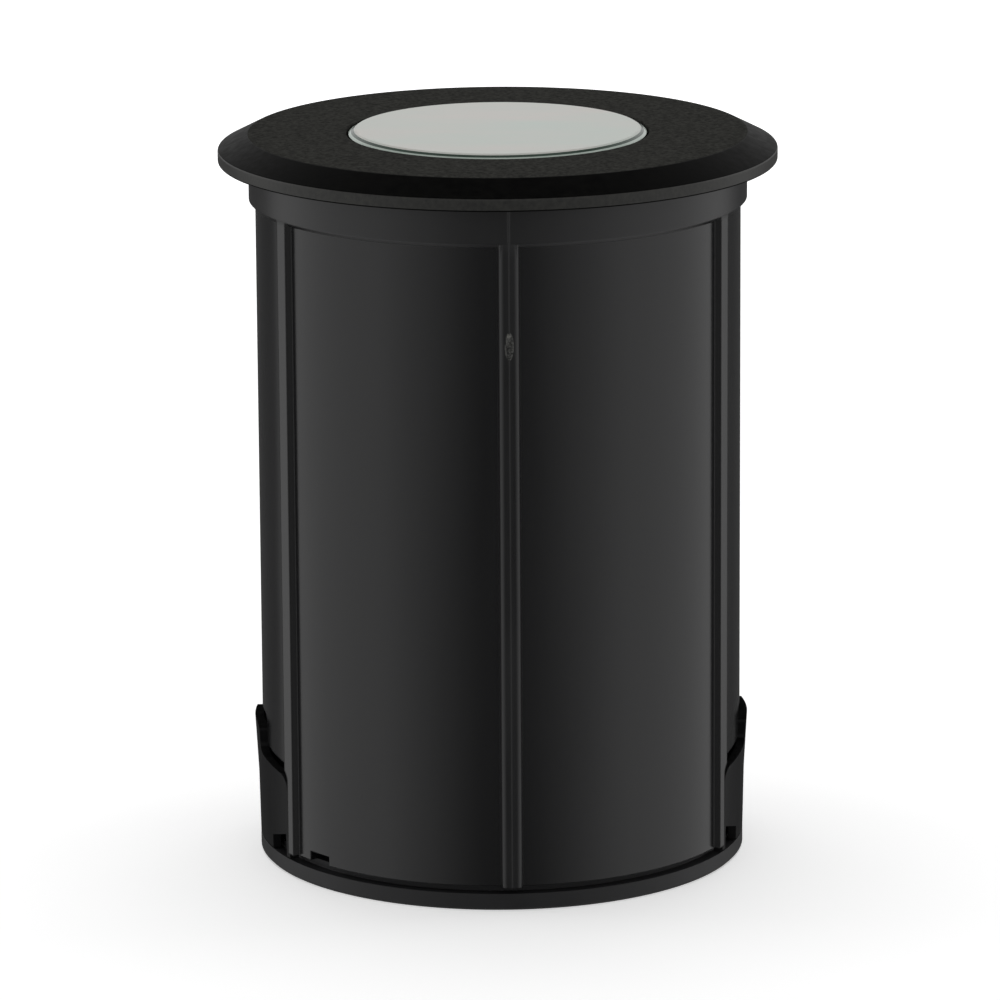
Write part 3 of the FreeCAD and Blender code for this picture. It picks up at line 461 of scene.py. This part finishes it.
# The band of the bevel nearest its outer edge takes the pale copy, a painted highlight.
paint(glass, [FROST, POLISH, LENS_EDGE_HIGHLIGHT],
      lambda normal, centre: 1 if abs(normal.z) < UPRIGHT else
      0 if normal.z < 0 or centre.xy.length < (LENS_R - POLISH_WIDE) * MM else
      2 if centre.xy.length > (LENS_R - BRIGHT_WIDE) * MM else 1)
stand_for(glass, "fitting", "lens_glass", "glass_lens")

# %% [markdown]
# ## Ribs with rounded edges
# The CAD ribs have sharp edges. On a moulding those are rounded by the cutter that made the tool,
# and it is the roundings, not the flat faces, that catch the light as two soft lines. So the
# front and the back rib get a thin skin with true roundings and the fine ridge that the tool's
# parting line leaves. It is a section drawn once and pulled upright.

# %% Rib skins
SLEEVE_R, RIB_PROUD, RIB_CREST, RIB_FOOT, RIB_EDGE = 30.4, 0.75, 2.0, 2.5, 0.72
RIB_LOW, RIB_HIGH, SKIN, RIDGE, RIDGE_UP, SUNK = 3.05, 82.2, 0.14, 0.12, 0.05, 0.1
RUN_OUT, RUN_OUT_SHRINK = 2, 0.9965
RIB_TOP = SLEEVE_R + RIB_PROUD + SKIN


def rib_skin(name, side):
    """One rib's rounded skin. Side is 1 for the front and -1 for the back."""
    foot = math.sqrt(SLEEVE_R ** 2 - RIB_FOOT ** 2 / 4) - SUNK
    crest, half = RIB_TOP, RIB_CREST / 2 + SKIN
    section = softened([
        (-RIB_FOOT / 2 - SKIN, -foot, 0), (-half, -crest, RIB_EDGE), (-RIDGE, -crest, 0),
        (0, -crest - RIDGE_UP, 0.05), (RIDGE, -crest, 0), (half, -crest, RIB_EDGE),
        (RIB_FOOT / 2 + SKIN, -foot, 0)], steps=8)
    shape = bmesh.new()
    rows = [[shape.verts.new((spot.x * side * MM, spot.y * side * shrink * MM, height * MM))
             for spot in section]
            for height, shrink in ((RIB_LOW, 1), (RIB_HIGH, 1),
                                   (RIB_HIGH + RUN_OUT, RUN_OUT_SHRINK))]
    for low, high in zip(rows, rows[1:]):
        for here in range(len(section) - 1):
            shape.faces.new((low[here], low[here + 1], high[here + 1], high[here]))
    skin = piece_from(name, shape)
    skin.data.materials.append(SLEEVE_SKIN)
    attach(skin, "sleeve")


rib_skin("rib_skin_front", 1)
rib_skin("rib_skin_back", -1)

# %% [markdown]
# ## The gate mark
# Plastic enters the mould through one small gate on the front rib. When the sleeve is broken off
# its runner, a rough stub is left there, with a small nib on top where the plastic tore last, and
# that nib is coloured pale grey. It is a small domed grid whose points are pushed about by noise,
# so it stays the same each time the script runs.

# %% Torn stub of the gate
STUB = mottled("torn_polypropylene", "#060606", "#5C5C59", patch=0.25, rough=(0.25, 0.6),
               grain=0.3, depth=0.09, values={"IOR": 1.49, "Specular IOR Level": 0.35})
PALE_NIB = mottled("pale_nib_polypropylene", "#454542", "#80807A", patch=0.3,
                   rough=(0.4, 0.6), grain=0.2, depth=0.03, values={"IOR": 1.49})
GATE_Z, GATE_WIDE, GATE_TALL, NIB_UP, NIB_R = 71.5, 0.56, 1.75, 1.3, 0.22
GATE_PROUD, TORN_UP, NIB_PROUD, NIB_SPREAD, GATE_SUNK = 0.1, 0.32, 0.3, 0.09, -0.01
TEARS_PER_MM, TEAR_START = 2.9, Vector((7, 0, 3))
shape = bmesh.new()
spokes, circles = 30, 12
rows = []
for circle in range(circles + 1):
    share = circle / circles
    row = []
    for spoke in range(spokes if circle else 1):
        angle = 2 * math.pi * spoke / spokes
        spot = Vector((GATE_WIDE * share * math.cos(angle), 0,
                       GATE_TALL * share * math.sin(angle)))
        torn = noise.noise(spot * TEARS_PER_MM + TEAR_START) * TORN_UP * (1 - share ** 6)
        nib = NIB_PROUD * math.exp(-((spot.z - NIB_UP) ** 2 + spot.x ** 2) / NIB_SPREAD)
        proud = max(GATE_PROUD * (1 - share ** 3) + torn + nib * (1 - share ** 8), GATE_SUNK)
        row.append(shape.verts.new((spot.x * MM, -(RIB_TOP + proud) * MM, (GATE_Z + spot.z) * MM)))
    rows.append(row)
for spoke in range(spokes):
    after = (spoke + 1) % spokes
    shape.faces.new((rows[0][0], rows[1][after], rows[1][spoke]))
    for inner, outer in zip(rows[1:], rows[2:]):
        shape.faces.new((inner[spoke], inner[after], outer[after], outer[spoke]))
bmesh.ops.recalc_face_normals(shape, faces=shape.faces)
stub = piece_from("gate_stub", shape)
nib_place = Vector((0, -RIB_TOP * MM, (GATE_Z + NIB_UP) * MM))
paint(stub, [STUB, PALE_NIB],
      lambda normal, centre: int((centre - nib_place).xz.length < NIB_R * MM))
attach(stub, "sleeve")

# %% [markdown]
# ## Spring arms with rounded edges
# The two spring arms are thin strips with a soft edge all round. The photograph shows them a
# millimetre lower than the CAD arms and a little thicker at the tongue. A copy of each CAD arm's
# mesh is welded, its flat faces are merged, its inner side is moved in towards the top, its height
# above the root is scaled, and its sharp edges are bevelled. Their top faces are painted shade:
# they get a matt copy of the finish with no sheen, which keeps them almost black.

# %% Spring arms
ARM_ROOT, ARM_LOWER, ARM_EDGE = 3.0, 1.0, 0.12
INNER_SIDE, THICKER, THICK_FROM, THICK_OVER = 30.9, 0.35, 13.0, 3.0
CAD_WELD, FLAT, SHARP = 0.001, math.radians(1), math.radians(30)


def spring_arm(name, body, node):
    """A softer and lower copy of a CAD arm, in that arm's place."""
    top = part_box(node)[1].z / MM
    scale = (top - ARM_LOWER - ARM_ROOT) / (top - ARM_ROOT)
    shape = bmesh.new()
    shape.from_mesh(nodes[node].data)
    bmesh.ops.remove_doubles(shape, verts=shape.verts, dist=CAD_WELD * MM)
    bmesh.ops.dissolve_limit(shape, angle_limit=FLAT, verts=shape.verts, edges=shape.edges)
    for vert in shape.verts:
        up, reach = vert.co.z / MM, vert.co.xy.length / MM
        if reach < INNER_SIDE and up > THICK_FROM:
            grown = THICKER * min((up - THICK_FROM) / THICK_OVER, 1)
            vert.co.xy *= (reach - grown) / reach
        vert.co.z = (ARM_ROOT + (up - ARM_ROOT) * scale if up > ARM_ROOT else up) * MM
    sharp = [edge for edge in shape.edges
             if edge.is_manifold and edge.calc_face_angle() > SHARP]
    bmesh.ops.bevel(shape, geom=sharp, offset=ARM_EDGE * MM, segments=2, affect="EDGES",
                    clamp_overlap=True)
    arm = piece_from(name, shape)
    arm.data.materials.clear()
    # Faces that look up get the sheenless copy: painted shade on the arms' tops.
    paint(arm, [ARM, ARM_TOP_SHADED], lambda normal, centre: int(normal.z > 0.5))
    stand_for(arm, body, "arm_plastic", node)


spring_arm("spring_arm_right", "arm_right", "clip_arm_right")
spring_arm("spring_arm_left", "arm_left", "clip_arm_left")

# %% [markdown]
# ## The LED packages
# Each package is a small white ceramic square with a well of yellow phosphor in it, whose surface
# bulges a little. A box is bevelled, its top is inset and the inner square is lifted and
# coloured.

# %% LED packages
board_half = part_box("led_board")[1].x / MM
chip_low, chip_high = (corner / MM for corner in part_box("led_chips"))
CHIPS, CHIP_STEP, CHIP_SIDE, CHIP_EDGE = 7, math.radians(60), 0.1625 * board_half, 0.08
WALL_WIDE, WELL_DEEP, PHOSPHOR_IN, PHOSPHOR_UP, DOME_UP = 0.3, 0.06, 0.45, 0.04, 0.015
TOP_SKIN, WELL_EDGE, TOP_AREA = 0.07, 0.42, 1e-6
chip_ring = chip_high.x - CHIP_SIDE / 2
tall = chip_high.z - chip_low.z
shape = bmesh.new()
places = []
for turn in range(CHIPS):
    angle = CHIP_STEP * turn
    made = bmesh.ops.create_cube(shape, size=1)
    reach = chip_ring if turn else 0.0
    places.append(Vector((reach * math.cos(angle), reach * math.sin(angle))))
    for vert in made["verts"]:
        across, along = vert.co.x * CHIP_SIDE + reach, vert.co.y * CHIP_SIDE
        vert.co = Vector((across * math.cos(angle) - along * math.sin(angle),
                          across * math.sin(angle) + along * math.cos(angle),
                          (chip_low.z + chip_high.z) / 2 + vert.co.z * tall)) * MM
bmesh.ops.bevel(shape, geom=shape.edges[:], offset=CHIP_EDGE * MM, segments=2, affect="EDGES")
shape.normal_update()
tops = [face for face in shape.faces if face.normal.z > 0.99 and face.calc_area() > TOP_AREA]
bmesh.ops.inset_individual(shape, faces=tops, thickness=WALL_WIDE * MM, depth=-WELL_DEEP * MM)
bmesh.ops.inset_individual(shape, faces=tops, thickness=PHOSPHOR_IN * MM, depth=PHOSPHOR_UP * MM)
domes = bmesh.ops.poke(shape, faces=tops)
for vert in domes["verts"]:
    vert.co.z += DOME_UP * MM
for face in shape.faces:
    on_top = max(abs(vert.co.z - chip_high.z * MM) for vert in face.verts) < TOP_SKIN * MM
    spot = face.calc_center_median().xy
    near = min((spot - place * MM).length for place in places)
    face.material_index = 1 if on_top and near < (CHIP_SIDE / 2 - WELL_EDGE) * MM else 0
packages = piece_from("led_packages", shape)
packages.data.materials.append(CERAMIC)
packages.data.materials.append(PHOSPHOR)
stand_for(packages, "fitting", "led_phosphor", "led_chips")

# %% [markdown]
# ## The coil and the capacitor
# A coil shows its wire: here a round wire of 0.4 mm is wound side by side on the ferrite core.
# The capacitor is an aluminium can in a shrunk plastic sleeve. It is crimped round the rubber
# plug that its leads come out of, and the sleeve stops short of its bare far end.

# %% Wire turns
coil_low, coil_high = (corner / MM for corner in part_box("inductor_winding"))
middle = (coil_low + coil_high) / 2
WIRE_R, SIDES, STEPS_A_TURN, CORE_SIDES = 0.2, 8, 40, 48
climb = coil_high.z - coil_low.z - 2 * WIRE_R
turns = int(climb / (2 * WIRE_R))
outer = (coil_high.x - coil_low.x) / 2 - WIRE_R
steps = turns * STEPS_A_TURN
shape = bmesh.new()
rings = []
for step in range(steps + 1):
    angle = 2 * math.pi * step / STEPS_A_TURN
    height = coil_low.z + WIRE_R + climb * step / steps
    ring = []
    for side in range(SIDES):
        round_wire = 2 * math.pi * side / SIDES
        reach = outer + WIRE_R * math.cos(round_wire)
        ring.append(shape.verts.new(((middle.x + reach * math.cos(angle)) * MM,
                                     (middle.y + reach * math.sin(angle)) * MM,
                                     (height + WIRE_R * math.sin(round_wire)) * MM)))
    rings.append(ring)
for here, after in zip(rings, rings[1:]):
    for side in range(SIDES):
        shape.faces.new((here[side], here[side - 1], after[side - 1], after[side]))
inner = bmesh.ops.create_cone(shape, cap_ends=True, segments=CORE_SIDES, radius1=outer * MM,
                              radius2=outer * MM, depth=(coil_high.z - coil_low.z - WIRE_R) * MM)
for vert in inner["verts"]:
    vert.co += middle * MM
bmesh.ops.recalc_face_normals(shape, faces=shape.faces)
wire = piece_from("coil_wire", shape)
wire.data.materials.append(COPPER)
stand_for(wire, "fitting", "winding_copper", "inductor_winding")
print("turns of wire:", turns)

# %% Capacitor
can_low, can_high = (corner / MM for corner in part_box("capacitor"))
middle, CAN_R = (can_low + can_high) / 2, (can_high.x - can_low.x) / 2
low, high = can_low.z, can_high.z
BARE_IN, BARE_UP, CRIMP_LOW, CRIMP_HIGH, CRIMP_DEEP, PLUG_IN, PLUG_DOWN = (
    1.1, 0.15, 3.0, 2.0, 0.5, 1.2, 0.4)
can = lathe("capacitor_can", [
    (0, low + BARE_UP, 0), (CAN_R - BARE_IN, low + BARE_UP, 0), (CAN_R - 0.9, low, 0.1),
    (CAN_R, low, 0.4), (CAN_R, high - CRIMP_LOW, 0.25),
    (CAN_R - CRIMP_DEEP, high - (CRIMP_LOW + CRIMP_HIGH) / 2, 0.25),
    (CAN_R, high - CRIMP_HIGH, 0.25), (CAN_R, high, 0.3), (CAN_R - PLUG_IN, high, 0.1),
    (CAN_R - PLUG_IN, high - PLUG_DOWN, 0), (0, high - PLUG_DOWN, 0)], sides=64)
paint(can, [CAN, BRIGHT_ALUMINIUM, RUBBER],
      lambda normal, centre: 0 if centre.xy.length > (CAN_R - BARE_IN + 0.05) * MM else
      1 if normal.z < 0 else 2)
can.data.transform(Matrix.Translation((middle.x * MM, middle.y * MM, 0)))
stand_for(can, "fitting", "capacitor_can", "capacitor")

# %% [markdown]
# ## Solder and chip resistors
# The pins of the parts end in small shiny cones of solder: the leads of the coil, the capacitor
# and the terminal block on the far side of the driver board, and the contact pins on both boards.
# A few chip resistors, black with tinned ends, sit beside them. They are details of the boards,
# so they stand for no CAD node.

# %% Solder cones
board_low, board_high = (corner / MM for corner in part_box("driver_board"))
led_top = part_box("led_board")[1].z / MM
CONE_R, CONE_TIP, CONE_TALL, CONE_SUNK, CONE_SIDES = 0.85, 0.42, 0.6, 0.02, 20
LEAD_APART, PIN_APART, PIN_ALONG = 2.5, 1.3, 12.0
cones = [(side * PIN_APART, PIN_ALONG, base, away) for side in (-1, 1)
         for base, away in ((board_low.z, -1), (led_top, 1))]
for part in ("capacitor", "inductor_core", "terminal_block"):
    centre = (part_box(part)[0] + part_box(part)[1]) / 2 / MM
    cones += [(centre.x + side * LEAD_APART, centre.y, board_high.z, 1) for side in (-1, 1)]
shape = bmesh.new()
for across, along, base, away in cones:
    made = bmesh.ops.create_cone(shape, cap_ends=True, segments=CONE_SIDES, radius1=CONE_R,
                                 radius2=CONE_TIP, depth=CONE_TALL)
    for vert in made["verts"]:
        vert.co = Vector((vert.co.x + across, vert.co.y + along,
                          base + away * (vert.co.z + CONE_TALL / 2 - CONE_SUNK))) * MM
bmesh.ops.recalc_face_normals(shape, faces=shape.faces)
solder = piece_from("solder_cones", shape)
solder.data.materials.append(SOLDER)
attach(solder, "fitting")
print("solder cones:", len(cones))

# %% Chip resistors
CHIP_LONG, CHIP_WIDE, CHIP_TALL, END_LONG, TIN, TIN_EDGE = 1.6, 0.8, 0.45, 0.28, 0.04, 0.04
SPOTS = [(0, -9, 0), (5, 8.5, 1), (-8, 7, 1), (0.5, -12, 0), (-1, -2, 1)]
shape = bmesh.new()
for across, along, quarter in SPOTS:
    for place, long, grow in ((0, CHIP_LONG - 2 * END_LONG, 0), (-1, END_LONG, TIN),
                              (1, END_LONG, TIN)):
        made = bmesh.ops.create_cube(shape, size=1)
        for vert in made["verts"]:
            spot = Vector((vert.co.x * long + place * (CHIP_LONG - END_LONG) / 2,
                           vert.co.y * (CHIP_WIDE + grow)))
            spot = Vector((-spot.y, spot.x)) if quarter else spot
            vert.co = Vector((spot.x + across, spot.y + along,
                              board_high.z + (vert.co.z + 0.5) * (CHIP_TALL + grow))) * MM
        for face in {face for vert in made["verts"] for face in vert.link_faces}:
            face.material_index = 1 if place else 0
bmesh.ops.bevel(shape, geom=shape.edges[:], offset=TIN_EDGE * MM, segments=2, affect="EDGES")
resistors = piece_from("chip_resistors", shape)
resistors.data.materials.append(EPOXY)
resistors.data.materials.append(SOLDER)
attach(resistors, "fitting")

# %% [markdown]
# ## The camera
# A long lens from a little under a metre away, 13.7 degrees above the horizon and a touch to the
# left, so that the front rib stands just right of the middle. The numbers come from the ellipses
# of the flange, the collar and the base ring in the photograph.

# %% The photograph's view
LENS, SENSOR, DISTANCE = 239.57, 36, 0.8426
AIM_RIGHT, AIM_UP, NEAREST, FARTHEST = 0.02, 44.79, 0.05, 50
AZIMUTH, ELEVATION, ROLL = math.radians(-2.3), math.radians(13.685), math.radians(-0.36)
right = Vector((math.cos(AZIMUTH), math.sin(AZIMUTH), 0))
target = right * AIM_RIGHT * MM + Vector((0, 0, AIM_UP * MM))
back = Vector((math.sin(AZIMUTH) * math.cos(ELEVATION), -math.cos(AZIMUTH) * math.cos(ELEVATION),
               math.sin(ELEVATION)))
lens = bpy.data.cameras.new("view_lens")
lens.lens, lens.sensor_width = LENS, SENSOR
lens.clip_start, lens.clip_end = NEAREST, FARTHEST
camera = bpy.data.objects.new("view", lens)
bpy.context.scene.collection.objects.link(camera)
camera.location = target + back * DISTANCE
camera.rotation_mode = "QUATERNION"
roll = Quaternion((0, 0, 1), ROLL)
camera.rotation_quaternion = (-back).to_track_quat("-Z", "Y") @ roll
bpy.context.scene.camera = camera
print("camera at, mm:", [round(side / MM) for side in camera.location])

# %% [markdown]
# ## The studio
# A pale floor, one large soft box above, a narrower one at each side and a light tent all round.
# The tent is white to the eye. Black plastic shows nothing but what it mirrors, so what it
# mirrors is chosen with care: below the level of the light the tent is dark in front, fades to
# white at the sides and is dark again behind, alike at both sides. This is the usual way to light
# a black cylinder, which gets a dark middle and two soft bright flanks. The floor is white to the
# eye too, and brighter far from the light, where the boxes reach it less, so it has no horizon.


# %% Lamps and the floor
AIM_OF_BOXES = Vector((0, 0, 0.05))
FLOOR_R, GLOW_FROM, GLOW_TO, GLOW_NEAR, GLOW_FAR = 4, 0.3, 1.0, 0.42, 1.2


def soft_box(name, place, size, level):
    """A square lamp that looks at the light. Level is the brightness of its face."""
    lamp = bpy.data.lights.new(name, "AREA")
    lamp.shape, lamp.size, lamp.size_y = "RECTANGLE", *size
    lamp.energy = level * math.pi * size[0] * size[1]
    item = bpy.data.objects.new(name, lamp)
    bpy.context.scene.collection.objects.link(item)
    item.location = place
    item.rotation_mode = "QUATERNION"
    item.rotation_quaternion = (AIM_OF_BOXES - Vector(place)).to_track_quat("-Z", "Y")
    print(name, "level", level)
    return item


def white_to_the_eye(tree, path):
    """One where the camera or clear glass looks, and nought where light is gathered."""
    seen = add_node(tree, "ShaderNodeMath", {"operation": "MAXIMUM"}, {},
                    {0: path.outputs["Is Camera Ray"], 1: path.outputs["Is Transmission Ray"]})
    return seen.outputs["Value"]


floor_paint = new_material("matt_white_floor")
tree = floor_paint.node_tree
matt = add_node(tree, "ShaderNodeBsdfDiffuse", values={"Color": linear("#F2F2F2")})
seen = white_to_the_eye(tree, add_node(tree, "ShaderNodeLightPath"))
spot = add_node(tree, "ShaderNodeTexCoord")
reach = add_node(tree, "ShaderNodeVectorMath", {"operation": "LENGTH"},
                 links={0: spot.outputs["Object"]})
far = add_node(tree, "ShaderNodeMapRange",
               values={"From Min": GLOW_FROM, "From Max": GLOW_TO, "To Min": GLOW_NEAR,
                       "To Max": GLOW_FAR},
               links={"Value": reach.outputs["Value"]})
lift = add_node(tree, "ShaderNodeMath", {"operation": "MULTIPLY"}, {},
                {0: far.outputs["Result"], 1: seen})
glow = add_node(tree, "ShaderNodeEmission", links={"Strength": lift.outputs["Value"]})
both = add_node(tree, "ShaderNodeAddShader", links={0: matt.outputs["BSDF"],
                                                    1: glow.outputs["Emission"]})
add_node(tree, "ShaderNodeOutputMaterial", links={"Surface": both.outputs["Shader"]})
disc = bmesh.new()
bmesh.ops.create_circle(disc, cap_ends=True, radius=FLOOR_R, segments=64)
sheet = bpy.data.meshes.new("floor")
disc.to_mesh(sheet)
disc.free()
floor = bpy.data.objects.new("floor", sheet)
floor.data.materials.append(floor_paint)
bpy.context.scene.collection.objects.link(floor)
floor.visible_glossy = False
floor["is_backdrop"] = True

# %% The light tent
# Bearings are in degrees from the front.
FRONT_TO, SIDE_FROM, SIDE_TO, BACK_FROM, BEHIND = 10, 60, 125, 135, 180
DARK_CLOTH, WHITE_CLOTH = 0.1, 1.0
ONE_SIDE = [(FRONT_TO, DARK_CLOTH), (SIDE_FROM, WHITE_CLOTH), (SIDE_TO, WHITE_CLOTH),
            (BACK_FROM, DARK_CLOTH), (BEHIND, DARK_CLOTH)]
TENT = [(-degrees, level) for degrees, level in reversed(ONE_SIDE)] + ONE_SIDE
CLOTH_TOP, CLOTH_GONE, GATHERED_LEVEL = -0.1, 0.05, 0.5
ROOF_FROM, ROOF_TO, ROOF_DARK = 0.45, 0.8, 0.08
world = bpy.data.worlds.new("light_tent")
bpy.context.scene.world = world
world.use_nodes = True
tree = world.node_tree
tree.nodes.clear()
place = add_node(tree, "ShaderNodeTexCoord")
front = add_node(tree, "ShaderNodeMapping", values={"Rotation": (0, 0, math.pi / 2)},
                 links={"Vector": place.outputs["Generated"]})
bearing = add_node(tree, "ShaderNodeTexGradient", {"gradient_type": "RADIAL"},
                   links={"Vector": front.outputs["Vector"]})
cloth = add_node(tree, "ShaderNodeValToRGB", links={"Fac": bearing.outputs["Fac"]})
for number, (degrees, level) in enumerate(TENT):
    stops = cloth.color_ramp.elements
    stop = stops[number] if number < 2 else stops.new(1)
    stop.position, stop.color = degrees / 360 + 0.5, (level, level, level, 1)
height = add_node(tree, "ShaderNodeSeparateXYZ", links={"Vector": place.outputs["Generated"]})
sky = add_node(tree, "ShaderNodeMapRange",
               values={"From Min": CLOTH_TOP, "From Max": CLOTH_GONE},
               links={"Value": height.outputs["Z"]})
roof = add_node(tree, "ShaderNodeMapRange",
                values={"From Min": ROOF_FROM, "From Max": ROOF_TO, "To Min": 1.0,
                        "To Max": ROOF_DARK},
                links={"Value": height.outputs["Z"]})
mirror_level = add_node(tree, "ShaderNodeMix",
                        links={"Factor": sky.outputs["Result"], "A": cloth.outputs["Color"],
                               "B": roof.outputs["Result"]})
path = add_node(tree, "ShaderNodeLightPath")
seen = white_to_the_eye(tree, path)
gathered = add_node(tree, "ShaderNodeMix", values={"A": GATHERED_LEVEL},
                    links={"Factor": path.outputs["Is Glossy Ray"],
                           "B": mirror_level.outputs["Result"]})
level = add_node(tree, "ShaderNodeMix", values={"B": 1.0},
                 links={"Factor": seen, "A": gathered.outputs["Result"]})
tent = add_node(tree, "ShaderNodeBackground", links={"Strength": level.outputs["Result"]})
add_node(tree, "ShaderNodeOutputWorld", links={"Surface": tent.outputs["Background"]})
print("tent levels:", len(TENT))

top_box = soft_box("top_box", (0.0, 0.35, 1.3), (1.2, 1.2), 1.6)
top_box.visible_glossy = False
soft_box("left_box", (-1.1, 0.35, 0.45), (0.5, 1.0), 1.0)
soft_box("right_box", (1.1, 0.35, 0.45), (0.5, 1.0), 1.0)
bpy.context.scene.view_settings.view_transform = "Standard"

# %% [markdown]
# ## The size of the dressed light
# The box of the dressed light is printed in millimetres. Dressing never changes the size of the
# whole.

# %% Sizes
low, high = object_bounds()
print("dressed box, mm:", [round(side / MM, 2) for side in high - low])
